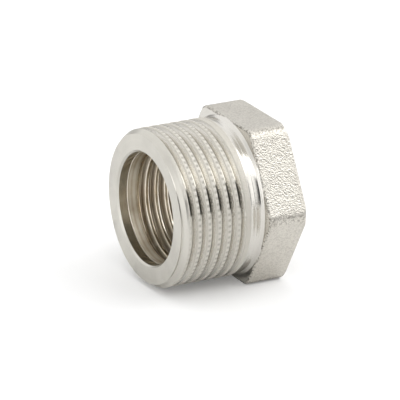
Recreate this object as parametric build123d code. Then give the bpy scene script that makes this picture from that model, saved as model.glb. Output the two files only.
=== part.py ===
from build123d import *
import math
import os

# A hex reducing bushing for pipework: a turned shank that carries the outside thread, a forged
# hexagon behind it for the spanner, and a smaller inside thread through both. It is one piece.
# It lies on one flat of its hexagon. X runs along its axis, from the open end of the shank toward
# the hexagon, and Z is up. The origin is below the middle of the length, at the resting surface.
# All sizes are in millimetres. Radii and places along the axis follow from the values below.

# Shank with the outside thread (G 3/4). The thread is given by the cylinder over its crests.
outside_thread_diameter = 26.441
shank_length = 14.95
lead_in_depth = 0.72
lead_in_length = 1.0

# Shallow turned neck between the thread and the hexagon, where the threading die runs out
neck_depth = 0.27
neck_length = 0.8
neck_slope_length = 1.2
neck_corner_round = 0.4

# Round collar at the front of the hexagon, reached from the neck by a slant of 45 degrees
collar_height_over_neck = 0.4

# Forged hexagon: its edges are rounded, and its rear corners are cut by a turned cone
across_flats = 26.8
hexagon_length = 7.05
long_edge_round = 2.2
front_edge_round = 0.3
rear_edge_round = 0.25
corner_chamfer_depth = 0.7
corner_chamfer_angle = 30.0

# Bore: a smooth mouth, a slow taper, then the wall over the inside thread's crests (G 1/2)
mouth_diameter = 18.9
mouth_chamfer = 0.3
mouth_length = 1.8
taper_length = 1.9
inside_thread_crest_diameter = 18.631
inside_thread_root_diameter = 20.955
countersink_clearance = 0.12

# Extra reach of a cutting or joining shape past the faces that it meets
overlap = 1.0


def turned(points):
    """Solid of revolution about the X axis, from points given as (place along X, radius)."""
    outline = make_face(Polyline(*points, close=True))
    return revolve(Plane.XZ * outline, Axis.X)


def make_shank():
    """Turned shank from the open end to just inside the hexagon, with lead-in, neck and collar."""
    crest_radius = outside_thread_diameter / 2
    neck_radius = crest_radius - neck_depth
    collar_radius = neck_radius + collar_height_over_neck
    rise_start = shank_length - collar_height_over_neck
    neck_start = rise_start - neck_length
    slope_start = neck_start - neck_slope_length

    outline = make_face(
        Polyline(
            (0, 0),
            (0, crest_radius - lead_in_depth),
            (lead_in_length, crest_radius),
            (slope_start, crest_radius),
            (neck_start, neck_radius),
            (rise_start, neck_radius),
            (shank_length, collar_radius),
            (shank_length + overlap, collar_radius),
            (shank_length + overlap, 0),
            close=True,
        )
    )
    neck_corner = outline.vertices().sort_by_distance((rise_start, neck_radius))[0]
    outline = fillet(neck_corner, neck_corner_round)
    return revolve(Plane.XZ * outline, Axis.X)


def make_hexagon():
    """Forged hexagon behind the shank, with flats above and below and its rear corners turned."""
    sides = 6
    flat_distance = across_flats / 2
    outline = RegularPolygon(flat_distance, sides, major_radius=False)
    outline = fillet(outline.vertices(), long_edge_round)
    prism = extrude(Plane.YZ.offset(shank_length) * outline, hexagon_length)

    front_edges = prism.faces().sort_by(Axis.X)[0].edges()
    prism = fillet(front_edges, front_edge_round)
    rear_edges = prism.faces().sort_by(Axis.X)[-1].edges()
    prism = fillet(rear_edges, rear_edge_round)

    corner_radius = (flat_distance - long_edge_round) / math.cos(math.pi / sides) + long_edge_round
    rear = shank_length + hexagon_length
    reach = corner_radius + overlap
    cone_length = (corner_chamfer_depth + overlap) * math.tan(math.radians(corner_chamfer_angle))
    keep = turned(
        [
            (shank_length - overlap, 0),
            (shank_length - overlap, reach),
            (rear - cone_length, reach),
            (rear, corner_radius - corner_chamfer_depth),
            (rear, 0),
        ]
    )
    return prism & keep


def make_bore():
    """Through bore to cut away: chamfered mouth, taper, thread crest wall and rear countersink."""
    mouth_radius = mouth_diameter / 2
    crest_radius = inside_thread_crest_diameter / 2
    countersink_radius = inside_thread_root_diameter / 2 + countersink_clearance
    rear = shank_length + hexagon_length
    countersink_start = rear - (countersink_radius - crest_radius)
    return turned(
        [
            (-overlap, 0),
            (-overlap, mouth_radius + mouth_chamfer + overlap),
            (mouth_chamfer, mouth_radius),
            (mouth_length, mouth_radius),
            (mouth_length + taper_length, crest_radius),
            (countersink_start, crest_radius),
            (rear + overlap, countersink_radius + overlap),
            (rear + overlap, 0),
        ]
    )


def make_bushing():
    """The whole bushing, moved so that its lowest flat lies at Z 0 and its length is centred."""
    body = make_shank() + make_hexagon() - make_bore()
    overall_length = shank_length + hexagon_length
    return Pos(-overall_length / 2, 0, across_flats / 2) * body


bushing = make_bushing()
bushing.label = "hex_bushing"
os.makedirs("parts", exist_ok=True)
export_step(bushing, "parts/hex_bushing.step")
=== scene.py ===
import logging
import math
from collections.abc import Callable
from dataclasses import dataclass, field
from enum import Enum

import bmesh
import bpy
import numpy as np
from mathutils import Matrix, Vector


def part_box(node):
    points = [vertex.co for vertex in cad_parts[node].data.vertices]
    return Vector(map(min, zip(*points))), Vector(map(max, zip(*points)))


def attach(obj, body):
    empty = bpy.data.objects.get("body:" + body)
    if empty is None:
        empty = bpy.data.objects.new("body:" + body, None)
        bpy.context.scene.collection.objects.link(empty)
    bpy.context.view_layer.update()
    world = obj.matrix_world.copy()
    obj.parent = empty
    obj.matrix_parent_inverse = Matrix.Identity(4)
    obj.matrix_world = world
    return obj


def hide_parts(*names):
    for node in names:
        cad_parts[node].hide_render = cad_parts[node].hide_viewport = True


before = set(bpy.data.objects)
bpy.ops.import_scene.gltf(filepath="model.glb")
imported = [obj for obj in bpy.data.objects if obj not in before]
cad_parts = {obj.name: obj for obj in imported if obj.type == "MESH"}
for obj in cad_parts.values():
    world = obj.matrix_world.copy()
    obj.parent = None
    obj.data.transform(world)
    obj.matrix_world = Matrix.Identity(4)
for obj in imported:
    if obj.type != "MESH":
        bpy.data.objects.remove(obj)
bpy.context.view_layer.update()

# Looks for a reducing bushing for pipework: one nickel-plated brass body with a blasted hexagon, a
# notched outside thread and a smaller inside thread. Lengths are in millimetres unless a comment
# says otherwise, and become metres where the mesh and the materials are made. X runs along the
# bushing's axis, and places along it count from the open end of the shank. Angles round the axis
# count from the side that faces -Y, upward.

NODE = "hex_bushing"
BODY = "root"

MM = 0.001
TURN = 2 * math.pi
SIXTH = math.pi / 6
SIDES = 6
WHITE = (1.0, 1.0, 1.0, 1.0)

# Points nearer than TINY are one point. A stretch over LONG_STRETCH gets a narrow STRIP at each
# end, and a helix row within ROW_MARGIN of a wall's end gives way to the end's own ring.
TINY = 1e-4
STRIP = 0.04
LONG_STRETCH = 0.2
ROW_MARGIN = 0.012
SHARP_ANGLE = 35.0

# Sockets of a Mix node that mixes colours
MIX_INPUTS = (0, 6, 7)
MIX_RESULT = 2

Colour = tuple[float, float, float, float]
Socket = bpy.types.NodeSocket
Value = Socket | float | tuple[float, ...]
Number = float | np.ndarray
Ring = tuple[Number, Number]
RadiusAt = Callable[[np.ndarray, np.ndarray], np.ndarray]

logging.basicConfig(level=logging.INFO, format="%(name)s: %(message)s")
log = logging.getLogger("bushing")


class Finish(Enum):
    """The finishes on the bushing, in the order of its material slots."""

    TURNED = 0
    BLASTED = 1
    BORED = 2


@dataclass(frozen=True)
class PipeThread:
    """A right-handed 55 degree pipe thread, with flat crests and roots and rounded corners.

    Places along the thread count from the rear edge of a crest.
    """

    pitch: float = 1.814
    crest_width: float = 0.6
    crest_rounding: float = 0.12
    root_width: float = 0.2
    root_rounding: float = 0.06
    flank_angle: float = 27.5
    rounding_steps: int = 2

    def outline(self, extra: tuple[float, ...] = ()) -> tuple[np.ndarray, np.ndarray]:
        """Places along one pitch, and how deep the groove is below the crests at each.

        Args:
            extra: further places along the pitch that need a row of points.

        Returns:
            The places in rising order, within one pitch, and the depth at each.
        """
        flank = math.radians(self.flank_angle)
        turn = math.pi / 2 - flank
        tangent = self.crest_rounding * math.tan(turn / 2)
        middle = (self.pitch - self.crest_width) / 2
        bottom = (middle - self.root_width / 2) / math.tan(flank)
        corner = middle - self.root_width / 2 + self.root_rounding * math.tan(turn / 2)

        turns = np.linspace(0, turn, self.rounding_steps + 1)
        crest = -tangent + self.crest_rounding * np.sin(turns)
        crest_depth = self.crest_rounding * (1 - np.cos(turns))
        root = corner - self.root_rounding * np.sin(turns[::-1])
        root_depth = bottom - self.root_rounding * (1 - np.cos(turns[::-1]))

        # The second half of the groove mirrors the first.
        rear = np.concatenate([crest, root])
        rear_depth = np.concatenate([crest_depth, root_depth])
        places = np.concatenate([rear, 2 * middle - rear[::-1]])
        depths = np.concatenate([rear_depth, rear_depth[::-1]])

        added = places[0] + (np.asarray(extra, dtype=float) - places[0]) % self.pitch
        added_depths = np.interp(added, places, depths, period=self.pitch)
        places = np.concatenate([places, added])
        depths = np.concatenate([depths, added_depths])
        order = np.argsort(places)
        return places[order], depths[order]

    def depth(self, along: np.ndarray) -> np.ndarray:
        """Depth below the crests at places along the thread."""
        places, depths = self.outline()
        return np.interp(along, places, depths, period=self.pitch)


@dataclass(frozen=True)
class Notches:
    """Small cuts across each crest, deeper toward its rear, which hold the sealing tape or hemp.

    A cut starts and stops at places along the thread. Toward both ends of the shank the cuts fade.
    """

    per_turn: int = 84
    start: float = -0.6
    stop: float = 0.36
    slope: float = 0.24
    fade_places: tuple[float, ...] = (0.8, 2.2, 9.2, 10.6, 11.6)
    fade_shares: tuple[float, ...] = (0.25, 1.0, 1.0, 0.3, 0.0)

    def depth(
        self, along: np.ndarray, angle: np.ndarray, x: np.ndarray, pitch: float
    ) -> np.ndarray:
        """Depth of the cuts below the crests.

        Args:
            along: places along the thread, from a crest's rear edge.
            angle: angles round the axis.
            x: places along the bushing.
            pitch: the thread's pitch.

        Returns:
            The depth at each point, 0 where there is no cut.
        """
        across = (along + pitch / 2) % pitch - pitch / 2
        ramp = np.where(across < self.stop, np.maximum(across - self.start, 0) * self.slope, 0)
        valley = 1 - np.abs(np.sin(angle * self.per_turn / 2))
        return ramp * valley * np.interp(x, self.fade_places, self.fade_shares)


class Shell:
    """Collects one closed mesh: its points, its faces and the finish of each face."""

    def __init__(self, axis_height: float, open_end: float) -> None:
        """Starts an empty mesh.

        Args:
            axis_height: height of the bushing's axis over the ground.
            open_end: X of the shank's open end in the frame.
        """
        self.axis_height = axis_height
        self.open_end = open_end
        self.points: list[tuple[float, float, float]] = []
        self.faces: list[tuple[int, ...]] = []
        self.finishes: list[int] = []

    def add(self, x: np.ndarray, radius: np.ndarray, angle: np.ndarray) -> list[int]:
        """Adds points given by place along the axis, radius and angle.

        Args:
            x: places along the bushing.
            radius: distances from its axis.
            angle: angles round its axis.

        Returns:
            The numbers of the new points.
        """
        first = len(self.points)
        across = -radius * np.cos(angle)
        height = radius * np.sin(angle) + self.axis_height
        self.points.extend(zip((x + self.open_end).tolist(), across.tolist(), height.tolist()))
        return list(range(first, len(self.points)))

    def ring(self, x: Number, radius: Number, columns: int) -> list[int]:
        """Adds one closed ring of points, with x and radius constant or given per column."""
        angle = np.arange(columns) * TURN / columns
        return self.add(x + np.zeros(columns), radius + np.zeros(columns), angle)

    def face(self, corners: list[int], finish: Finish) -> None:
        """Adds one face, without the corners that repeat, if at least three are left.

        Args:
            corners: the numbers of its points, in order.
            finish: its finish.
        """
        kept = [c for i, c in enumerate(corners) if c != corners[i - 1]]
        if len(set(kept)) >= 3:
            self.faces.append(tuple(kept))
            self.finishes.append(finish.value)

    def join(self, first: list[int], second: list[int], finish: Finish) -> None:
        """Joins two rings of equally many points with four-cornered faces.

        Args:
            first: points of one ring.
            second: points of the other ring.
            finish: finish of the new faces.
        """
        for i, corner in enumerate(first):
            after = (i + 1) % len(first)
            self.face([corner, second[i], second[after], first[after]], finish)

    def gather(self, fine: list[int], coarse: list[int], finish: Finish) -> None:
        """Joins a ring to one with a whole number of times fewer points.

        Args:
            fine: points of the ring with more points.
            coarse: points of the ring with fewer points.
            finish: finish of the new faces.
        """
        step = len(fine) // len(coarse)
        for i, corner in enumerate(coarse):
            after = coarse[(i + 1) % len(coarse)]
            strip = [fine[(i * step + n) % len(fine)] for n in range(step + 1)]
            half = step // 2
            for n in range(half):
                self.face([corner, strip[n], strip[n + 1]], finish)
            self.face([corner, strip[half], strip[half + 1], after], finish)
            for n in range(half + 1, step):
                self.face([after, strip[n], strip[n + 1]], finish)

    def sweep(self, start: list[int], outline: list[Ring], finish: Finish) -> list[int]:
        """Joins ring after ring along an outline.

        A narrow strip beside each end of a long stretch keeps its shading straight up to there.

        Args:
            start: points of the ring at the outline's first place.
            outline: place along the axis and radius of each ring, as numbers or one per column.
            finish: finish of the new faces.

        Returns:
            The points of the last ring.
        """
        last = start
        for (x, radius), (next_x, next_radius) in zip(outline, outline[1:]):
            run, rise = next_x - x, next_radius - radius
            length = np.maximum(np.hypot(run, rise), TINY)
            strip = np.minimum(STRIP / length, 0.5)
            parts = (strip, 1 - strip, 1) if np.max(length) > LONG_STRETCH else (1,)
            for part in parts:
                after = self.ring(x + run * part, radius + rise * part, len(start))
                self.join(last, after, finish)
                last = after
        return last

    def build(self, name: str) -> bpy.types.Object:
        """Makes the mesh object, in metres, with faces turned outward and smooth curves.

        Args:
            name: the object's name.

        Returns:
            The new object, linked to the scene.
        """
        mesh = bpy.data.meshes.new(name)
        metres = [tuple(c * MM for c in point) for point in self.points]
        mesh.from_pydata(metres, [], self.faces)
        mesh.polygons.foreach_set("material_index", self.finishes)
        work = bmesh.new()
        work.from_mesh(mesh)
        bmesh.ops.remove_doubles(work, verts=work.verts, dist=TINY * MM)
        bmesh.ops.dissolve_degenerate(work, edges=work.edges, dist=TINY * MM)
        bmesh.ops.recalc_face_normals(work, faces=work.faces)
        work.to_mesh(mesh)
        work.free()
        mesh.polygons.foreach_set("use_smooth", [True] * len(mesh.polygons))
        mesh.set_sharp_from_angle(angle=math.radians(SHARP_ANGLE))
        piece = bpy.data.objects.new(name, mesh)
        bpy.context.scene.collection.objects.link(piece)
        return piece


@dataclass
class HelixWall:
    """A threaded wall whose rows of points follow the helix and stop square at both ends."""

    thread: PipeThread
    crest_edge: float
    start: float
    end: float
    columns: int
    extra: tuple[float, ...] = ()

    def along(self, x: np.ndarray, angle: np.ndarray) -> np.ndarray:
        """Place along the thread, from a crest's rear edge."""
        return x + self.thread.pitch * angle / TURN - self.crest_edge

    def build(
        self, shell: Shell, radius_at: RadiusAt, finish: Finish
    ) -> tuple[list[int], list[int]]:
        """Adds the wall to the mesh.

        Args:
            shell: the mesh to add to.
            radius_at: gives the radius for arrays of places along the bushing and angles.
            finish: the wall's finish.

        Returns:
            The points of its first and last ring.
        """
        pitch = self.thread.pitch
        places, _ = self.thread.outline(self.extra)
        first_turn = math.floor((self.start - self.crest_edge) / pitch) - 1
        last_turn = math.ceil((self.end - self.crest_edge) / pitch) + 1
        turns = np.arange(first_turn, last_turn + 1)
        rows = (self.crest_edge + turns[:, None] * pitch + places[None, :]).ravel()

        angles = np.arange(self.columns) * TURN / self.columns
        starts, ends = self.start + 0 * angles, self.end + 0 * angles
        first_ring = shell.add(starts, radius_at(starts, angles), angles)
        last_ring = shell.add(ends, radius_at(ends, angles), angles)
        grid = []
        for column, angle in enumerate(angles):
            x = rows - pitch * angle / TURN
            before = x <= self.start + ROW_MARGIN
            inside = ~before & (x < self.end - ROW_MARGIN)
            kept = x[inside]
            numbers = np.where(before, first_ring[column], last_ring[column])
            numbers[inside] = shell.add(kept, radius_at(kept, angle + 0 * kept), angle + 0 * kept)
            grid.append(numbers.tolist())

        # After a whole turn the rows meet those of one pitch before.
        grid.append([first_ring[0]] * len(places) + grid[0][: -len(places)])
        for here, after in zip(grid, grid[1:]):
            for row in range(len(rows) - 1):
                shell.face([here[row], here[row + 1], after[row + 1], after[row]], finish)
        return first_ring, last_ring


@dataclass
class Shank:
    """The turned shank: lead-in, notched outside thread, shallow neck and collar.

    Crest_edge is where a crest's rear edge crosses the side that faces -Y.
    """

    length: float = 14.95
    crest_radius: float = 13.2205
    lead_in_depth: float = 0.72
    lead_in_length: float = 1.0
    edge_round: float = 0.1
    crest_edge: float = 1.44
    run_out: tuple[float, float] = (11.2, 12.4)
    neck_depth: float = 0.27
    neck_length: float = 0.6
    neck_slope_length: float = 1.4
    neck_corner_round: float = 0.4
    corner_steps: int = 3
    collar_height: float = 0.4
    columns_per_notch: int = 6
    thread: PipeThread = PipeThread()
    notches: Notches = Notches()

    @property
    def columns(self) -> int:
        """Points in each ring of the shank."""
        return self.notches.per_turn * self.columns_per_notch

    @property
    def rise_start(self) -> float:
        """Where the neck would meet the slant up to the collar, if the corner were sharp."""
        return self.length - self.collar_height

    @property
    def slope_start(self) -> float:
        """Where the neck's slope starts."""
        return self.rise_start - self.neck_length - self.neck_slope_length

    @property
    def neck_radius(self) -> float:
        """Radius at the bottom of the neck."""
        return self.crest_radius - self.neck_depth

    @property
    def collar_radius(self) -> float:
        """Radius of the collar at the hexagon's front."""
        return self.neck_radius + self.collar_height

    def lead_in(self, x: np.ndarray) -> np.ndarray:
        """Radius of the turned blank that the thread is cut into.

        Args:
            x: places along the bushing.

        Returns:
            The radius at each place.
        """
        small = self.crest_radius - self.lead_in_depth
        slope = self.lead_in_depth / self.lead_in_length
        blank = np.minimum(small + slope * x, self.crest_radius)
        back = np.clip(1 - x / self.edge_round, 0, 1)
        return blank - self.edge_round * (1 - np.sqrt(1 - back**2)) * (1 - slope / 2)

    def wall(self) -> HelixWall:
        """The threaded wall, up to the neck's slope, with rows for the notches.

        Returns:
            The wall.
        """
        notches = self.notches
        extra = (notches.start, notches.start / 2, notches.stop / 2)
        return HelixWall(self.thread, self.crest_edge, 0.0, self.slope_start, self.columns, extra)

    def radius_at(self, x: np.ndarray, angle: np.ndarray) -> np.ndarray:
        """Radius of the threaded wall.

        Args:
            x: places along the bushing.
            angle: angles round the axis.

        Returns:
            The radius at each point.
        """
        along = self.wall().along(x, angle)
        groove = self.thread.depth(along) * np.interp(x, self.run_out, (1.0, 0.0))
        cut = self.notches.depth(along, angle, x, self.thread.pitch)
        return np.minimum(self.crest_radius - np.maximum(groove, cut), self.lead_in(x))

    def neck_outline(self) -> list[Ring]:
        """The outline from the thread's end to the hexagon, with a rounded slant of 45 degrees.

        Returns:
            Place along the bushing and radius of each ring.
        """
        slant = math.pi / 4
        round_start = self.rise_start - self.neck_corner_round * math.tan(slant / 2)
        outline = [(self.slope_start, self.crest_radius)]
        outline.append((self.slope_start + self.neck_slope_length, self.neck_radius))
        for turn in np.linspace(0, slant, self.corner_steps + 1):
            x = round_start + self.neck_corner_round * math.sin(turn)
            outline.append((x, self.neck_radius + self.neck_corner_round * (1 - math.cos(turn))))
        outline.append((self.length, self.collar_radius))
        return outline

    def build(self, shell: Shell) -> tuple[list[int], list[int]]:
        """Adds the shank's outside and returns its first and last ring."""
        open_ring, last = self.wall().build(shell, self.radius_at, Finish.TURNED)
        return open_ring, shell.sweep(last, self.neck_outline(), Finish.TURNED)


@dataclass
class Hexagon:
    """The forged hexagon, with rounded long edges and rear corners cut by a turned cone."""

    start: float
    end: float
    flat_distance: float
    collar_radius: float
    long_edge_round: float = 2.2
    front_edge_round: float = 0.3
    rear_edge_round: float = 0.25
    rear_corner_depth: float = 0.7
    corner_chamfer_angle: float = 30.0
    edge_steps: int = 3

    def outline(self, columns: int, inset: float = 0.0) -> np.ndarray:
        """Distance from the axis to the hexagon's side, all round.

        Args:
            columns: points in the ring.
            inset: how far inside the side the outline runs.

        Returns:
            The radius at each column.
        """
        flat = self.flat_distance - inset
        rounding = self.long_edge_round - inset
        angle = np.arange(columns) * TURN / columns
        off_flat = np.abs(angle % (2 * SIXTH) - SIXTH)
        off_corner = SIXTH - off_flat
        edge = math.atan((flat - rounding) * math.tan(SIXTH) / flat)
        centre = (flat - rounding) / math.cos(SIXTH)
        rounded = centre * np.cos(off_corner) + np.sqrt(
            np.maximum(rounding**2 - (centre * np.sin(off_corner)) ** 2, 0)
        )
        return np.where(off_flat < edge, flat / np.cos(off_flat), rounded)

    def edge(
        self, columns: int, face: float, inward: int, rounding: float, depth: float = 0.0
    ) -> list[Ring]:
        """Rings round one end, from its end face out to the sides.

        Args:
            columns: points in each ring.
            face: place of the end face along the bushing.
            inward: 1 where the hexagon lies behind that face, and -1 where it lies before it.
            rounding: radius of the edge.
            depth: how far in from the corners a turned cone starts on the end face, if it has one.

        Returns:
            Place along the bushing and radius of each ring.
        """
        cone_radius = self.outline(columns).max() - depth
        slope = math.tan(math.radians(self.corner_chamfer_angle))
        rings = []
        for turn in np.linspace(0, math.pi / 2, self.edge_steps + 1):
            radius = self.outline(columns, rounding * (1 - math.sin(turn)))
            back = np.maximum(rounding * (1 - math.cos(turn)), (radius - cone_radius) * slope)
            rings.append((face + inward * back, radius))
        face_radius = np.minimum(rings[0][1], cone_radius)
        return [(face + 0 * face_radius, face_radius)] + rings

    def over_collar(self, ring: Ring, side: np.ndarray) -> Ring:
        """Moves a ring's stretches inside the collar to where the collar meets the edge.

        Args:
            ring: place along the bushing and radius, one per column.
            side: distance from the axis to the hexagon's side at each column.

        Returns:
            The ring outside the collar.
        """
        x, radius = ring
        rounding = self.front_edge_round
        left = np.clip(side - self.collar_radius, 0, rounding) / rounding
        meeting = self.start + rounding * (1 - np.sqrt(1 - (1 - left) ** 2))
        outside = np.maximum(radius, self.collar_radius)
        return np.where(radius < self.collar_radius, meeting, x), outside

    def build(self, shell: Shell, collar: list[int]) -> list[int]:
        """Adds the hexagon's front face, sides, rear edge and the rim of its rear face.

        Args:
            shell: the mesh to add to.
            collar: the collar's last ring, at the front face.

        Returns:
            The inner ring of the rear face's rim.
        """
        columns = len(collar)
        side = self.outline(columns)
        front = self.edge(columns, self.start, 1, self.front_edge_round)
        rear = self.edge(columns, self.end, -1, self.rear_edge_round, self.rear_corner_depth)
        outline = [(self.start, self.collar_radius)]
        outline += [self.over_collar(ring, side) for ring in front]
        face_edge = shell.sweep(collar, outline[:2], Finish.TURNED)
        rear_edge = shell.sweep(face_edge, outline[1:] + rear[::-1], Finish.BLASTED)
        x, radius = rear[0]
        return shell.sweep(rear_edge, [(x, radius), (x, radius - STRIP)], Finish.TURNED)


@dataclass
class Bore:
    """The through bore: chamfered mouth, small step, slow taper, inside thread and countersink."""

    end: float
    columns: int
    mouth_radius: float = 9.45
    mouth_chamfer: float = 0.3
    mouth_length: float = 1.8
    step_length: float = 0.05
    step_height: float = 0.05
    taper_length: float = 1.9
    crest_radius: float = 9.3155
    root_radius: float = 10.4775
    countersink_clearance: float = 0.12
    crest_edge: float = 6.75
    run_in: tuple[float, float] = (3.7, 4.5)
    thread: PipeThread = PipeThread(crest_rounding=0.2, root_width=0.303, root_rounding=0.249)

    def wall(self) -> HelixWall:
        """The threaded wall, from the end of the taper to the rear face."""
        start = self.mouth_length + self.taper_length
        return HelixWall(self.thread, self.crest_edge, start, self.end, self.columns)

    def radius_at(self, x: np.ndarray, angle: np.ndarray) -> np.ndarray:
        """Radius of the threaded wall and of the countersink at its end.

        Args:
            x: places along the bushing.
            angle: angles round the axis.

        Returns:
            The radius at each point.
        """
        share = np.interp(x, self.run_in, (0.0, 1.0))
        groove = self.thread.depth(self.wall().along(x, angle)) * share
        countersink = self.root_radius + self.countersink_clearance - (self.end - x)
        return np.maximum(self.crest_radius + groove, countersink)

    def build(self, shell: Shell, open_ring: list[int], rear_ring: list[int]) -> None:
        """Adds both end faces and the bore between them.

        Args:
            shell: the mesh to add to.
            open_ring: outer ring of the face at the shank's open end.
            rear_ring: outer ring of the face at the hexagon's end.
        """
        lip_radius = self.mouth_radius + self.mouth_chamfer
        lip = shell.ring(0.0, lip_radius, self.columns)
        shell.gather(open_ring, lip, Finish.TURNED)
        mouth = (self.mouth_chamfer, self.mouth_radius)
        step = (self.mouth_length, self.mouth_radius)
        taper = (self.mouth_length + self.step_length, self.mouth_radius - self.step_height)
        inner = shell.sweep(lip, [(0.0, lip_radius), mouth], Finish.TURNED)
        inner = shell.sweep(inner, [mouth, step, taper], Finish.BORED)
        first, last = self.wall().build(shell, self.radius_at, Finish.BORED)
        shell.join(inner, first, Finish.BORED)
        shell.gather(rear_ring, last, Finish.TURNED)


class NodeSheet:
    """Short calls that place and wire the nodes of one tree."""

    def __init__(self, tree: bpy.types.NodeTree) -> None:
        """Starts on an empty tree."""
        self.tree = tree
        tree.nodes.clear()

    def place(self, kind: str, **settings: object) -> bpy.types.Node:
        """Places a node.

        Args:
            kind: the node's type.
            settings: the node's own settings, by name.

        Returns:
            The new node.
        """
        node = self.tree.nodes.new(kind)
        for name, value in settings.items():
            setattr(node, name, value)
        return node

    def put(self, target: Socket, value: Value) -> None:
        """Wires an output to a socket, or sets the socket to a plain value.

        Args:
            target: the socket.
            value: the output, number or colour for it.
        """
        if isinstance(value, Socket):
            self.tree.links.new(value, target)
        else:
            target.default_value = value

    def math(self, operation: str, *values: Value) -> Socket:
        """Places a math node.

        Args:
            operation: what it works out.
            values: outputs or plain numbers that it works on.

        Returns:
            The node's result.
        """
        node = self.place("ShaderNodeMath", operation=operation)
        for socket, value in zip(node.inputs, values):
            self.put(socket, value)
        return node.outputs[0]

    def vector(self, operation: str, *values: Value) -> Socket:
        """Places a vector math node.

        Args:
            operation: what it works out.
            values: outputs or plain vectors that it works on.

        Returns:
            The node's result, a number for a length and otherwise a vector.
        """
        node = self.place("ShaderNodeVectorMath", operation=operation)
        for socket, value in zip(node.inputs, values):
            self.put(socket, value)
        return node.outputs["Value" if operation == "LENGTH" else "Vector"]

    def step(
        self, value: Value, low: float, high: float, to_low: float = 0.0, to_high: float = 1.0
    ) -> Socket:
        """Places a smooth change from one value to another.

        Args:
            value: what it depends on.
            low: where the change starts.
            high: where it ends. It may lie below low.
            to_low: the result up to low.
            to_high: the result from high on.

        Returns:
            The result.
        """
        node = self.place("ShaderNodeMapRange", interpolation_type="SMOOTHSTEP")
        for socket, setting in zip(node.inputs, (value, low, high, to_low, to_high)):
            self.put(socket, setting)
        return node.outputs[0]

    def blend(self, share: Value, first: Value, second: Value) -> Socket:
        """Mixes two colours.

        Args:
            share: the second colour's share.
            first: the colour at share 0.
            second: the colour at share 1.

        Returns:
            The mixed colour.
        """
        node = self.place("ShaderNodeMix", data_type="RGBA")
        for number, value in zip(MIX_INPUTS, (share, first, second)):
            self.put(node.inputs[number], value)
        return node.outputs[MIX_RESULT]

    def noise(
        self, vector: Socket, scale: Value, detail: float = 2.0, roughness: float = 0.5
    ) -> Socket:
        """Places a noise texture.

        Args:
            vector: where it is read.
            scale: its scale, per metre.
            detail: how many finer layers it has.
            roughness: how strong those are.

        Returns:
            Its value, from 0 to 1.
        """
        node = self.place("ShaderNodeTexNoise")
        settings = {"Vector": vector, "Scale": scale, "Detail": detail, "Roughness": roughness}
        for name, value in settings.items():
            self.put(node.inputs[name], value)
        return node.outputs[0]

    def bump(self, height: Socket, depth: float, normal: Socket | None = None) -> Socket:
        """Places a bump.

        Args:
            height: height of the surface, from 0 to 1.
            depth: what a height of 1 stands for, in metres.
            normal: the normal under it, if that isn't the mesh's own.

        Returns:
            The bumped normal.
        """
        node = self.place("ShaderNodeBump")
        node.inputs["Strength"].default_value = 1.0
        node.inputs["Distance"].default_value = depth
        self.put(node.inputs["Height"], height)
        if normal is not None:
            self.put(node.inputs["Normal"], normal)
        return node.outputs[0]

    def group(self, group: bpy.types.NodeTree, **values: Value) -> bpy.types.Node:
        """Places a node group.

        Args:
            group: the group.
            values: outputs or plain values for its inputs, by name.

        Returns:
            The group's node.
        """
        node = self.place("ShaderNodeGroup", node_tree=group)
        for name, value in values.items():
            self.put(node.inputs[name], value)
        return node


def new_group(
    name: str, inputs: dict[str, float], outputs: dict[str, str]
) -> tuple[NodeSheet, bpy.types.Node, bpy.types.Node]:
    """Makes an empty shader node group with named sockets.

    Args:
        name: the group's name.
        inputs: default for each number that goes in, by name.
        outputs: socket kind for each output, by name.

    Returns:
        The sheet to place nodes on, the inputs' node and the outputs' node.
    """
    tree = bpy.data.node_groups.new(name, "ShaderNodeTree")
    for label, default in inputs.items():
        socket = tree.interface.new_socket(label, in_out="INPUT", socket_type="NodeSocketFloat")
        socket.default_value = default
    for label, kind in outputs.items():
        tree.interface.new_socket(label, in_out="OUTPUT", socket_type=kind)
    sheet = NodeSheet(tree)
    return sheet, sheet.place("NodeGroupInput"), sheet.place("NodeGroupOutput")


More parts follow.
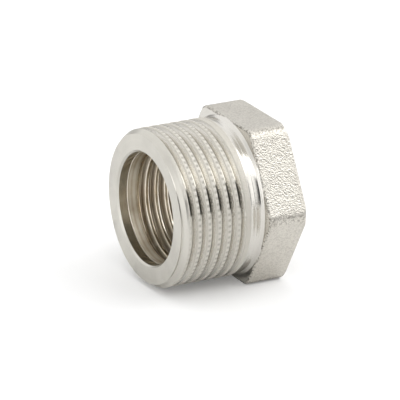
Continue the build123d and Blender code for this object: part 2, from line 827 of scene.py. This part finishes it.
@dataclass
class Effects:
    """Shader node groups that several finishes share. Their scales are per metre."""

    axis_height: float
    open_end: float
    shank: Shank
    waver_scale: float = 40.0
    waver_depth: float = 0.2
    coarse_rings: float = 0.22
    wide_pits: float = 0.45
    wide_pits_share: float = 0.5
    pit_floor: float = 0.6
    pit_rim: float = 0.82
    ridge_foot: float = 0.3
    ridge_top: float = 0.9
    cloud_low: float = 0.35
    cloud_high: float = 0.68
    place: bpy.types.NodeTree = field(init=False)
    notching: bpy.types.NodeTree = field(init=False)
    turning: bpy.types.NodeTree = field(init=False)
    grain: bpy.types.NodeTree = field(init=False)
    cloud: bpy.types.NodeTree = field(init=False)

    def __post_init__(self) -> None:
        """Builds every group once."""
        self.place = self.make_place()
        self.notching = self.make_notching()
        self.turning = self.make_turning()
        self.grain = self.make_grain()
        self.cloud = self.make_cloud()

    def at(self, x: float) -> float:
        """X in the frame, in metres, of a place along the bushing."""
        return (self.open_end + x) * MM

    def make_place(self) -> bpy.types.NodeTree:
        """Builds the group that says where a point lies: along the axis, out from it and round it.

        Returns:
            The group. Along and Radius are in metres, in the frame.
        """
        outputs = dict.fromkeys(("Along", "Radius", "Angle"), "NodeSocketFloat")
        outputs["Point"] = "NodeSocketVector"
        sheet, _, result = new_group("place_on_bushing", {}, outputs)
        point = sheet.place("ShaderNodeTexCoord").outputs["Object"]
        centred = sheet.vector("SUBTRACT", point, (0.0, 0.0, self.axis_height * MM))
        split = sheet.place("ShaderNodeSeparateXYZ")
        sheet.put(split.inputs[0], centred)
        across = sheet.vector("MULTIPLY", centred, (0.0, 1.0, 1.0))
        toward = sheet.math("MULTIPLY", split.outputs["Y"], -1.0)
        sheet.put(result.inputs["Angle"], sheet.math("ARCTAN2", split.outputs["Z"], toward))
        sheet.put(result.inputs["Along"], split.outputs["X"])
        sheet.put(result.inputs["Radius"], sheet.vector("LENGTH", across))
        sheet.put(result.inputs["Point"], point)
        return sheet.tree

    def make_notching(self) -> bpy.types.NodeTree:
        """Builds masks of each crest's notched stretch, and of the ridges between its notches.

        Returns:
            The group.
        """
        outputs = dict.fromkeys(("Notched", "Ridge"), "NodeSocketFloat")
        sheet, _, result = new_group("notched_crests", {}, outputs)
        spot = sheet.group(self.place)
        notches = self.shank.notches
        pitch = self.shank.thread.pitch * MM
        turned = sheet.math("MULTIPLY", spot.outputs["Angle"], pitch / TURN)
        along = sheet.math("ADD", spot.outputs["Along"], turned)
        along = sheet.math("SUBTRACT", along, self.at(self.shank.crest_edge))
        across = sheet.math("WRAP", along, pitch / 2, -pitch / 2)
        rise = sheet.step(across, notches.start * MM, notches.start * MM / 3)
        fall = sheet.step(across, notches.stop * MM / 2, 0.0)
        mask = sheet.math("MULTIPLY", rise, fall)
        none, first, last, *_, gone = (self.at(x) for x in notches.fade_places)
        mask = sheet.math("MULTIPLY", mask, sheet.step(spot.outputs["Along"], none, first))
        mask = sheet.math("MULTIPLY", mask, sheet.step(spot.outputs["Along"], gone, last))
        half_turns = sheet.math("MULTIPLY", spot.outputs["Angle"], notches.per_turn / 2)
        wave = sheet.math("ABSOLUTE", sheet.math("SINE", half_turns))
        sheet.put(result.inputs["Notched"], mask)
        sheet.put(result.inputs["Ridge"], sheet.step(wave, self.ridge_foot, self.ridge_top))
        return sheet.tree

    def make_turning(self) -> bpy.types.NodeTree:
        """Builds the fine rings that a lathe tool leaves, along the axis and on the end faces.

        Returns:
            The group. Its input Rings is the scale of the finest rings.
        """
        outputs = dict.fromkeys(("Height", "Tone"), "NodeSocketFloat")
        sheet, given, result = new_group("turning_marks", {"Rings": 6000.0}, outputs)
        spot = sheet.group(self.place)
        waver = sheet.noise(spot.outputs["Point"], self.waver_scale, detail=1.0)
        rings = sheet.place("ShaderNodeCombineXYZ")
        sheet.put(rings.inputs[0], spot.outputs["Along"])
        sheet.put(rings.inputs[1], spot.outputs["Radius"])
        sheet.put(rings.inputs[2], sheet.math("MULTIPLY", waver, self.waver_depth * MM))
        fine = given.outputs["Rings"]
        coarse = sheet.math("MULTIPLY", fine, self.coarse_rings)
        height = sheet.noise(rings.outputs[0], fine, detail=3.0, roughness=0.6)
        sheet.put(result.inputs["Height"], height)
        sheet.put(result.inputs["Tone"], sheet.noise(rings.outputs[0], coarse))
        return sheet.tree

    def make_grain(self) -> bpy.types.NodeTree:
        """Builds the close pits that shot blasting leaves, with a mask of their floors.

        Returns:
            The group. Its input Scale is that of the smallest pits.
        """
        outputs = dict.fromkeys(("Height", "Pits"), "NodeSocketFloat")
        sheet, given, result = new_group("blasted_grain", {"Scale": 5000.0}, outputs)
        point = sheet.group(self.place).outputs["Point"]
        fine = sheet.noise(point, given.outputs["Scale"], detail=1.0, roughness=0.6)
        wide_scale = sheet.math("MULTIPLY", given.outputs["Scale"], self.wide_pits)
        wide = sheet.noise(point, wide_scale, detail=1.0)
        height = sheet.math("ADD", fine, sheet.math("MULTIPLY", wide, self.wide_pits_share))
        sheet.put(result.inputs["Height"], height)
        sheet.put(result.inputs["Pits"], sheet.step(height, self.pit_rim, self.pit_floor))
        return sheet.tree

    def make_cloud(self) -> bpy.types.NodeTree:
        """Builds the slow changes of tone that plating and handling leave on metal.

        Returns:
            The group. Its input Scale is that of the largest patches.
        """
        outputs = {"Mask": "NodeSocketFloat"}
        sheet, given, result = new_group("plating_cloud", {"Scale": 160.0}, outputs)
        point = sheet.group(self.place).outputs["Point"]
        cloud = sheet.noise(point, given.outputs["Scale"], detail=4.0, roughness=0.6)
        sheet.put(result.inputs["Mask"], sheet.step(cloud, self.cloud_low, self.cloud_high))
        return sheet.tree


def metal_material(name: str) -> tuple[bpy.types.Material, NodeSheet, bpy.types.Node]:
    """Makes a material with one metal shader.

    Args:
        name: the material's name.

    Returns:
        The material, the sheet to place nodes on and the shader's node.
    """
    material = bpy.data.materials.new(name)
    material.use_nodes = True
    sheet = NodeSheet(material.node_tree)
    shader = sheet.place("ShaderNodeBsdfPrincipled")
    shader.inputs["Metallic"].default_value = 1.0
    output = sheet.place("ShaderNodeOutputMaterial")
    sheet.put(output.inputs["Surface"], shader.outputs[0])
    return material, sheet, shader


@dataclass(frozen=True)
class TurnedZones:
    """Masks of the stretches of the turned surface."""

    behind_lead_in: Socket
    before_neck: Socket
    on_thread: Socket
    above_root: Socket
    above_flank: Socket
    on_crest: Socket


@dataclass(frozen=True)
class TurnedNickel:
    """Nickel over turned brass: shiny neck and roots, grainy flanks, and dull, notched crests.

    The places bound the threaded stretch, and the radii its roots, flanks and crests. The colour
    paints shade into the roots and notches, and a highlight onto the ridges between the notches.
    """

    clean: Colour = (0.75, 0.73, 0.685, 1.0)
    dull: Colour = (0.65, 0.625, 0.575, 1.0)
    threaded: Colour = (0.70, 0.68, 0.625, 1.0)
    # Painted shade: this darker colour darkens the thread's roots and the foot of its flanks.
    root: Colour = (0.60, 0.575, 0.52, 1.0)
    crest: Colour = (0.68, 0.655, 0.60, 1.0)
    # Painted light: the ridge colour paints a highlight onto the ridges between notches, and the
    # notch colour paints shade into the notches.
    ridge_highlight: Colour = (0.74, 0.715, 0.665, 1.0)
    notch_shade: Colour = (0.52, 0.50, 0.45, 1.0)
    faced: Colour = (0.69, 0.67, 0.61, 1.0)
    faced_dull: Colour = (0.57, 0.55, 0.50, 1.0)
    root_roughness: float = 0.1
    flank_roughness: float = 0.22
    crest_roughness: float = 0.68
    neck_roughness: float = 0.2
    face_roughness: float = 0.34
    thread_start: float = 0.9
    thread_end: float = 12.7
    thread_fade: float = 0.3
    root_low: float = 12.27
    root_high: float = 12.33
    flank_high: float = 12.7
    crest_low: float = 12.9
    crest_high: float = 13.18
    cloud_scale: float = 170.0
    cloud_share: float = 0.45
    rings_scale: float = 7000.0
    rings_share: float = 0.5
    rings_depth: float = 0.022
    neck_waves: float = 5.0
    grain_scale: float = 5200.0
    grain_depth: float = 0.12
    flank_grain: float = 0.4
    crest_grain: float = 0.55

    def make(self, effects: Effects) -> bpy.types.Material:
        """Builds the material.

        Args:
            effects: the shared node groups.

        Returns:
            The material.
        """
        material, sheet, shader = metal_material("turned_nickel")
        zones = self.zones(sheet, effects)
        marks = sheet.group(effects.turning, Rings=self.rings_scale)
        cloud = sheet.group(effects.cloud, Scale=self.cloud_scale)
        tone = sheet.math("MULTIPLY", marks.outputs["Tone"], self.rings_share)
        stains = sheet.math("MULTIPLY", cloud.outputs["Mask"], self.cloud_share)
        shade = sheet.math("ADD", stains, tone)
        sheet.put(shader.inputs["Base Color"], self.colour(sheet, effects, zones, shade))
        above_root = sheet.math("MULTIPLY", zones.above_root, zones.on_thread)
        on_crest = sheet.math("MULTIPLY", zones.on_crest, zones.on_thread)
        roughness = self.roughness(sheet, zones, above_root, on_crest)
        sheet.put(shader.inputs["Roughness"], roughness)

        on_neck = sheet.math("SUBTRACT", 1.0, zones.before_neck)
        waves = sheet.math("MULTIPLY", marks.outputs["Tone"], self.neck_waves)
        waves = sheet.math("MULTIPLY", waves, on_neck)
        height = sheet.math("ADD", marks.outputs["Height"], waves)
        lathe = sheet.bump(height, self.rings_depth * MM)
        grain = sheet.group(effects.grain, Scale=self.grain_scale)
        strength = sheet.step(on_crest, 0.0, 1.0, self.flank_grain, self.crest_grain)
        strength = sheet.math("MULTIPLY", strength, above_root)
        height = sheet.math("MULTIPLY", grain.outputs["Height"], strength)
        pitted = sheet.bump(height, self.grain_depth * MM, lathe)
        sheet.put(shader.inputs["Normal"], pitted)
        return material

    def zones(self, sheet: NodeSheet, effects: Effects) -> TurnedZones:
        """Works out the masks.

        Args:
            sheet: the sheet to place nodes on.
            effects: the shared node groups.

        Returns:
            The masks.
        """
        spot = sheet.group(effects.place)
        start = effects.at(self.thread_start), effects.at(self.thread_start + self.thread_fade)
        end = effects.at(self.thread_end), effects.at(self.thread_end - self.thread_fade)
        behind_lead_in = sheet.step(spot.outputs["Along"], *start)
        before_neck = sheet.step(spot.outputs["Along"], *end)
        radius = spot.outputs["Radius"]
        return TurnedZones(
            behind_lead_in=behind_lead_in,
            before_neck=before_neck,
            on_thread=sheet.math("MULTIPLY", behind_lead_in, before_neck),
            above_root=sheet.step(radius, self.root_low * MM, self.root_high * MM),
            above_flank=sheet.step(radius, self.root_high * MM, self.flank_high * MM),
            on_crest=sheet.step(radius, self.crest_low * MM, self.crest_high * MM),
        )

    def colour(
        self, sheet: NodeSheet, effects: Effects, zones: TurnedZones, shade: Socket
    ) -> Socket:
        """Mixes the colour.

        Args:
            sheet: the sheet to place nodes on.
            effects: the shared node groups.
            zones: the masks of the turned surface.
            shade: how dull the plating is.

        Returns:
            The colour.
        """
        notching = sheet.group(effects.notching)
        flank = sheet.blend(shade, self.threaded, self.dull)
        # Painted shade in the roots, fading out up the flanks.
        thread = sheet.blend(zones.above_flank, self.root, flank)
        thread = sheet.blend(zones.on_crest, thread, self.crest)
        # Painted highlight on the ridges between the notches, and painted shade in the notches.
        notched = sheet.blend(notching.outputs["Ridge"], self.notch_shade, self.ridge_highlight)
        thread = sheet.blend(notching.outputs["Notched"], thread, notched)
        plain = sheet.blend(shade, self.clean, self.dull)
        turned = sheet.blend(zones.on_thread, plain, thread)
        face = sheet.blend(shade, self.faced, self.faced_dull)
        return sheet.blend(zones.behind_lead_in, face, turned)

    def roughness(
        self, sheet: NodeSheet, zones: TurnedZones, above_root: Socket, on_crest: Socket
    ) -> Socket:
        """Adds up the roughness.

        Args:
            sheet: the sheet to place nodes on.
            zones: the masks of the turned surface.
            above_root: mask of the thread's flanks and crests.
            on_crest: mask of the thread's crests.

        Returns:
            The roughness.
        """
        roughness = sheet.step(above_root, 0.0, 1.0, self.root_roughness, self.flank_roughness)
        dulled = self.crest_roughness - self.flank_roughness
        roughness = sheet.math("ADD", roughness, sheet.step(on_crest, 0.0, 1.0, 0.0, dulled))
        faced = self.face_roughness - self.root_roughness
        face = sheet.step(zones.behind_lead_in, 1.0, 0.0, 0.0, faced)
        necked = self.neck_roughness - self.root_roughness
        neck = sheet.step(zones.before_neck, 1.0, 0.0, 0.0, necked)
        return sheet.math("ADD", roughness, sheet.math("ADD", face, neck))


@dataclass(frozen=True)
class BlastedNickel:
    """Nickel over the shot-blasted forging: a satin, sparkling grain, with dark specks along the
    edges.

    Dark specks behind the hexagon's front edge are a painted shadow line where the collar meets it.
    More dark specks lie along its corners where the cosine of six times the angle is over
    long_edge_reach.
    """

    clean: Colour = (0.735, 0.705, 0.64, 1.0)
    dull: Colour = (0.57, 0.54, 0.485, 1.0)
    # Dark specks: painted shadow behind the front edge, plain dark specks along the long edges.
    speck_and_shadow: Colour = (0.16, 0.145, 0.12, 1.0)
    roughness: float = 0.28
    front_edge: float = 14.98
    front_fade: float = 0.45
    long_edge_reach: float = 0.93
    long_edge_share: float = 0.45
    cloud_scale: float = 130.0
    cloud_share: float = 0.3
    grain_scale: float = 4800.0
    grain_share: float = 0.85
    grain_depth: float = 0.1

    def make(self, effects: Effects) -> bpy.types.Material:
        """Builds the material.

        Args:
            effects: the shared node groups.

        Returns:
            The material.
        """
        material, sheet, shader = metal_material("blasted_nickel")
        grain = sheet.group(effects.grain, Scale=self.grain_scale)
        cloud = sheet.group(effects.cloud, Scale=self.cloud_scale)
        stains = sheet.math("MULTIPLY", cloud.outputs["Mask"], self.cloud_share)
        pits = sheet.math("MULTIPLY", grain.outputs["Pits"], self.grain_share)
        metal = sheet.blend(sheet.math("ADD", stains, pits), self.clean, self.dull)
        near_edge = self.near_edge(sheet, effects)
        # Painted shadow line of dark specks behind the front edge, with dark specks along the long
        # edges.
        specks = sheet.math("MULTIPLY", near_edge, grain.outputs["Pits"])
        sheet.put(shader.inputs["Base Color"], sheet.blend(specks, metal, self.speck_and_shadow))
        shader.inputs["Roughness"].default_value = self.roughness
        bump = sheet.bump(grain.outputs["Height"], self.grain_depth * MM)
        sheet.put(shader.inputs["Normal"], bump)
        return material

    def near_edge(self, sheet: NodeSheet, effects: Effects) -> Socket:
        """Works out how near a point is to the front edge or a long edge.

        Args:
            sheet: the sheet to place nodes on.
            effects: the shared node groups.

        Returns:
            A mask, 1 at the front edge.
        """
        spot = sheet.group(effects.place)
        fade = effects.at(self.front_edge + self.front_fade)
        front = sheet.step(spot.outputs["Along"], fade, effects.at(self.front_edge))
        corners = sheet.math("COSINE", sheet.math("MULTIPLY", spot.outputs["Angle"], SIDES))
        edge = sheet.step(corners, self.long_edge_reach, 1.0, 0.0, self.long_edge_share)
        return sheet.math("MAXIMUM", front, edge)


@dataclass(frozen=True)
class BoredNickel:
    """Thin plating in the bore, where the brass's warm tone shows through.

    Painted shade darkens the bore's top and bottom, where the cosine of the angle is small, less so
    on the taper.
    The tool's feed leaves saw-toothed marks on the taper, which turn its shine toward the open end.
    """

    plated: Colour = (0.88, 0.84, 0.74, 1.0)
    thin: Colour = (0.58, 0.48, 0.35, 1.0)
    mouth: Colour = (0.79, 0.77, 0.70, 1.0)
    # Painted shade: this darkest colour darkens the bore's top and bottom.
    painted_shade: Colour = (0.25, 0.225, 0.17, 1.0)
    groove: Colour = (0.46, 0.39, 0.30, 1.0)
    roughness: float = 0.15
    groove_roughness: float = 0.36
    taper_roughness: float = 0.45
    taper_start: float = 1.8
    taper_end: float = 3.7
    taper_fade: float = 0.2
    groove_low: float = 9.36
    groove_high: float = 9.6
    groove_share: float = 0.7
    # Where the painted shade starts and ends, by the cosine of the angle, its share, and how much
    # of it the taper is spared.
    painted_shade_low: float = 0.97
    painted_shade_high: float = 0.4
    painted_shade_share: float = 0.65
    taper_spared: float = 0.75
    cloud_scale: float = 210.0
    cloud_share: float = 0.5
    rings_scale: float = 9000.0
    streak_low: float = 0.38
    streak_high: float = 0.62
    streak_share: float = 0.5
    rings_depth: float = 0.01
    feed_slope: float = 0.2

    def make(self, effects: Effects) -> bpy.types.Material:
        """Builds the material.

        Args:
            effects: the shared node groups.

        Returns:
            The material.
        """
        material, sheet, shader = metal_material("bored_nickel")
        spot = sheet.group(effects.place)
        start, end = effects.at(self.taper_start), effects.at(self.taper_end)
        fade = self.taper_fade * MM
        behind_mouth = sheet.step(spot.outputs["Along"], start, start + fade)
        before_thread = sheet.step(spot.outputs["Along"], end, end - fade)
        taper = sheet.math("MULTIPLY", behind_mouth, before_thread)
        on_thread = sheet.math("SUBTRACT", 1.0, before_thread)
        radius = spot.outputs["Radius"]
        groove = sheet.step(radius, self.groove_low * MM, self.groove_high * MM)
        groove = sheet.math("MULTIPLY", groove, on_thread)

        marks = sheet.group(effects.turning, Rings=self.rings_scale)
        cloud = sheet.group(effects.cloud, Scale=self.cloud_scale)
        stains = sheet.math("MULTIPLY", cloud.outputs["Mask"], self.cloud_share)
        tone = marks.outputs["Tone"]
        streaks = sheet.step(tone, self.streak_low, self.streak_high, 0.0, self.streak_share)
        shade = sheet.math("ADD", stains, streaks)
        front = sheet.blend(shade, self.mouth, self.plated)
        behind = sheet.blend(shade, self.plated, self.thin)
        grooved = sheet.math("MULTIPLY", groove, self.groove_share)
        metal = sheet.blend(behind_mouth, front, sheet.blend(grooved, behind, self.groove))
        top_and_bottom_shade = self.top_and_bottom_shade(sheet, spot, taper)
        # Painted shade: a darker colour at the bore's top and bottom.
        sheet.put(shader.inputs["Base Color"], sheet.blend(top_and_bottom_shade, metal, self.painted_shade))

        roughness = sheet.step(taper, 0.0, 1.0, self.roughness, self.taper_roughness)
        grooved = sheet.step(groove, 0.0, 1.0, 0.0, self.groove_roughness - self.roughness)
        sheet.put(shader.inputs["Roughness"], sheet.math("ADD", roughness, grooved))
        feed = sheet.place("ShaderNodeMapRange")
        rise = (end - start) * self.feed_slope
        for socket, value in zip(feed.inputs, (spot.outputs["Along"], start, end, 0.0, rise)):
            sheet.put(socket, value)
        saw = sheet.bump(feed.outputs[0], 1.0)
        bump = sheet.bump(marks.outputs["Height"], self.rings_depth * MM, saw)
        sheet.put(shader.inputs["Normal"], bump)
        return material

    def top_and_bottom_shade(self, sheet: NodeSheet, spot: bpy.types.Node, taper: Socket) -> Socket:
        """Works out the share of painted shade at the bore's top and bottom.

        Args:
            sheet: the sheet to place nodes on.
            spot: the node that says where a point lies.
            taper: mask of the taper, which gets less of the painted shade.

        Returns:
            The painted shade's share.
        """
        side = sheet.math("ABSOLUTE", sheet.math("COSINE", spot.outputs["Angle"]))
        share = sheet.step(side, self.painted_shade_low, self.painted_shade_high, 0.0, self.painted_shade_share)
        kept = sheet.math("SUBTRACT", 1.0, sheet.math("MULTIPLY", taper, self.taper_spared))
        return sheet.math("MULTIPLY", share, kept)


@dataclass
class Bushing:
    """The whole bushing: one closed body that stands for the solid in the frame.

    Low and high are the corners of the solid's box, in metres. The bore has bore_thinning times
    fewer points round it than the shank.
    """

    low: Vector
    high: Vector
    shank: Shank = field(default_factory=Shank)
    bore_thinning: int = 3

    def build(self) -> bpy.types.Object:
        """Builds and dresses the body, and ties it to the frame.

        Returns:
            The finished piece.
        """
        open_end = self.low[0] / MM
        length = (self.high[0] - self.low[0]) / MM
        flat_distance = (self.high[2] - self.low[2]) / MM / 2
        axis_height = self.low[2] / MM + flat_distance
        shank = self.shank
        hexagon = Hexagon(shank.length, length, flat_distance, shank.collar_radius)
        bore = Bore(length, shank.columns // self.bore_thinning)

        shell = Shell(axis_height, open_end)
        open_ring, collar = shank.build(shell)
        rear_ring = hexagon.build(shell, collar)
        bore.build(shell, open_ring, rear_ring)
        piece = shell.build("bushing_body")
        self.dress(piece, Effects(axis_height, open_end, shank))
        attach(piece, BODY)
        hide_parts(NODE)
        return piece

    def dress(self, piece: bpy.types.Object, effects: Effects) -> None:
        """Gives the body its materials, in the order of the finishes.

        Args:
            piece: the body.
            effects: the shared node groups.
        """
        finishes = {
            Finish.TURNED: TurnedNickel(),
            Finish.BLASTED: BlastedNickel(),
            Finish.BORED: BoredNickel(),
        }
        for finish in Finish:
            piece.data.materials.append(finishes[finish].make(effects))
            log.info("finish: %s", finish.name.lower())


@dataclass(frozen=True)
class Stretch:
    """A soft-edged stretch of the surroundings and its level of light.

    Sides are degrees to the right of -Y, heights are degrees over the horizon, and soft is the
    width of the edge in degrees.
    """

    sides: tuple[float, float]
    heights: tuple[float, float]
    soft: float
    level: float


@dataclass
class Studio:
    """Pale floor, camera, and white surroundings that vary in level where the metal mirrors them.

    Ahead there is a dark card low down and a window of light over it, and plain softer stretches
    lie to both sides, behind and overhead. Sizes and places are in metres.
    """

    floor_size: float = 3.0
    floor_drop: float = 2e-5
    floor_colour: Colour = (0.86, 0.86, 0.86, 1.0)
    floor_lift: float = 0.155
    mirrored_lift: float = 0.02
    plain_level: float = 0.9
    card: Stretch = Stretch((-42, 37), (0, 38), 3, 0.05)
    window: Stretch = Stretch((-40, 80), (38, 61), 5, 2.45)
    window_end: Stretch = Stretch((56, 92), (36, 58), 6, 2.3)
    right: Stretch = Stretch((46, 90), (0, 36), 6, 1.45)
    left: Stretch = Stretch((-90, -46), (0, 36), 6, 1.45)
    back_right: Stretch = Stretch((110, 200), (12, 60), 6, 1.1)
    back_left: Stretch = Stretch((-200, -110), (12, 60), 6, 1.1)
    low_right: Stretch = Stretch((98, 200), (-10, 12), 6, 0.4)
    low_left: Stretch = Stretch((-200, -98), (-10, 12), 6, 0.4)
    top: Stretch = Stretch((-200, 200), (66, 100), 8, 1.15)
    camera_place: tuple[float, float, float] = (-0.36069, -0.64103, 0.28906)
    camera_aim: tuple[float, float, float] = (-0.00056, 0.00021, 0.01315)
    camera_roll: float = 0.89
    camera_lens: float = 431.0
    camera_nearest: float = 0.01

    def floor(self) -> bpy.types.Object:
        """Builds the wide pale floor, which keeps the bushing's shadow.

        Returns:
            The floor.
        """
        mesh = bpy.data.meshes.new("floor")
        work = bmesh.new()
        bmesh.ops.create_grid(work, x_segments=1, y_segments=1, size=self.floor_size / 2)
        work.to_mesh(mesh)
        work.free()
        floor = bpy.data.objects.new("floor", mesh)
        floor.location.z = -self.floor_drop
        bpy.context.scene.collection.objects.link(floor)
        floor.data.materials.append(self.floor_paint())
        return floor

    def floor_paint(self) -> bpy.types.Material:
        """Makes the pale matte paint, lifted to white for the camera and a little in reflections.

        Returns:
            The material.
        """
        material = bpy.data.materials.new("pale_floor")
        material.use_nodes = True
        sheet = NodeSheet(material.node_tree)
        matte = sheet.place("ShaderNodeBsdfDiffuse")
        matte.inputs["Color"].default_value = self.floor_colour
        lift = sheet.place("ShaderNodeEmission")
        rays = sheet.place("ShaderNodeLightPath")
        seen = sheet.math("MULTIPLY", rays.outputs["Is Camera Ray"], self.floor_lift)
        mirrored = sheet.math("MULTIPLY", rays.outputs["Is Glossy Ray"], self.mirrored_lift)
        sheet.put(lift.inputs["Strength"], sheet.math("ADD", seen, mirrored))
        both = sheet.place("ShaderNodeAddShader")
        sheet.put(both.inputs[0], matte.outputs[0])
        sheet.put(both.inputs[1], lift.outputs[0])
        output = sheet.place("ShaderNodeOutputMaterial")
        sheet.put(output.inputs["Surface"], both.outputs[0])
        return material

    def stretch_group(self) -> bpy.types.NodeTree:
        """Builds the mask of one soft-edged stretch of the surroundings.

        Returns:
            The group. Its inputs are angles in radians.
        """
        inputs = dict.fromkeys(("Left", "Right", "Low", "High", "Soft"), 0.0)
        sheet, given, result = new_group("soft_stretch", inputs, {"Mask": "NodeSocketFloat"})
        split = sheet.place("ShaderNodeSeparateXYZ")
        sheet.put(split.inputs[0], sheet.place("ShaderNodeTexCoord").outputs["Generated"])
        toward = sheet.math("MULTIPLY", split.outputs["Y"], -1.0)
        azimuth = sheet.math("ARCTAN2", split.outputs["X"], toward)
        elevation = sheet.math("ARCSINE", split.outputs["Z"])
        mask = 1.0
        for value, low, high in ((azimuth, "Left", "Right"), (elevation, "Low", "High")):
            rise = sheet.math("SUBTRACT", value, given.outputs[low])
            fall = sheet.math("SUBTRACT", given.outputs[high], value)
            inside = sheet.math("MINIMUM", rise, fall)
            share = sheet.math("DIVIDE", inside, given.outputs["Soft"])
            mask = sheet.math("MULTIPLY", sheet.step(share, -0.5, 0.5), mask)
        sheet.put(result.inputs["Mask"], mask)
        return sheet.tree

    def mask(self, sheet: NodeSheet, group: bpy.types.NodeTree, stretch: Stretch) -> Socket:
        """Places the mask of a stretch.

        Args:
            sheet: the sheet to place nodes on.
            group: the group that makes such a mask.
            stretch: the stretch.

        Returns:
            The mask.
        """
        names = ("Left", "Right", "Low", "High", "Soft")
        degrees = (*stretch.sides, *stretch.heights, stretch.soft)
        angles = {name: math.radians(angle) for name, angle in zip(names, degrees)}
        return sheet.group(group, **angles).outputs["Mask"]

    def lights(self) -> tuple[Stretch, ...]:
        """Every stretch of the surroundings but the card."""
        behind = (self.back_right, self.back_left, self.low_right, self.low_left)
        return (self.window, self.window_end, self.right, self.left, *behind, self.top)

    def surroundings(self) -> None:
        """Builds the surroundings: plain white for the camera, and the stretches for the metal."""
        world = bpy.data.worlds.new("studio")
        world.use_nodes = True
        bpy.context.scene.world = world
        sheet = NodeSheet(world.node_tree)
        group = self.stretch_group()
        card = self.mask(sheet, group, self.card)
        level = sheet.step(card, 0.0, 1.0, self.plain_level, self.card.level)
        for stretch in self.lights():
            mask = self.mask(sheet, group, stretch)
            added = sheet.math("MULTIPLY", mask, stretch.level - self.plain_level)
            level = sheet.math("ADD", level, added)

        lit = sheet.place("ShaderNodeBackground")
        sheet.put(lit.inputs["Color"], WHITE)
        sheet.put(lit.inputs["Strength"], level)
        white = sheet.place("ShaderNodeBackground")
        sheet.put(white.inputs["Color"], WHITE)
        mixed = sheet.place("ShaderNodeMixShader")
        rays = sheet.place("ShaderNodeLightPath")
        sheet.put(mixed.inputs[0], rays.outputs["Is Camera Ray"])
        sheet.put(mixed.inputs[1], lit.outputs[0])
        sheet.put(mixed.inputs[2], white.outputs[0])
        output = sheet.place("ShaderNodeOutputWorld")
        sheet.put(output.inputs["Surface"], mixed.outputs[0])

    def camera(self) -> bpy.types.Object:
        """Places the camera at the photograph's place, with its slight roll.

        Returns:
            The camera.
        """
        lens = bpy.data.cameras.new("camera")
        lens.lens = self.camera_lens
        lens.clip_start = self.camera_nearest
        camera = bpy.data.objects.new("camera", lens)
        place = Vector(self.camera_place)
        look = (Vector(self.camera_aim) - place).to_track_quat("-Z", "Y").to_matrix().to_4x4()
        roll = Matrix.Rotation(math.radians(self.camera_roll), 4, "Z")
        camera.matrix_world = Matrix.Translation(place) @ look @ roll
        bpy.context.scene.collection.objects.link(camera)
        bpy.context.scene.camera = camera
        return camera


def main() -> None:
    """Builds the bushing and its studio, and reports each piece."""
    bpy.context.scene.view_settings.view_transform = "Standard"
    low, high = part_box(NODE)
    studio = Studio()
    for piece in (Bushing(low, high).build(), studio.floor()):
        mesh = piece.data
        log.info("%s: %d points, %d faces", piece.name, len(mesh.vertices), len(mesh.polygons))
    studio.surroundings()
    camera = studio.camera()
    log.info("%s: %.0f mm lens", camera.name, camera.data.lens)


if __name__ == "__main__":
    main()
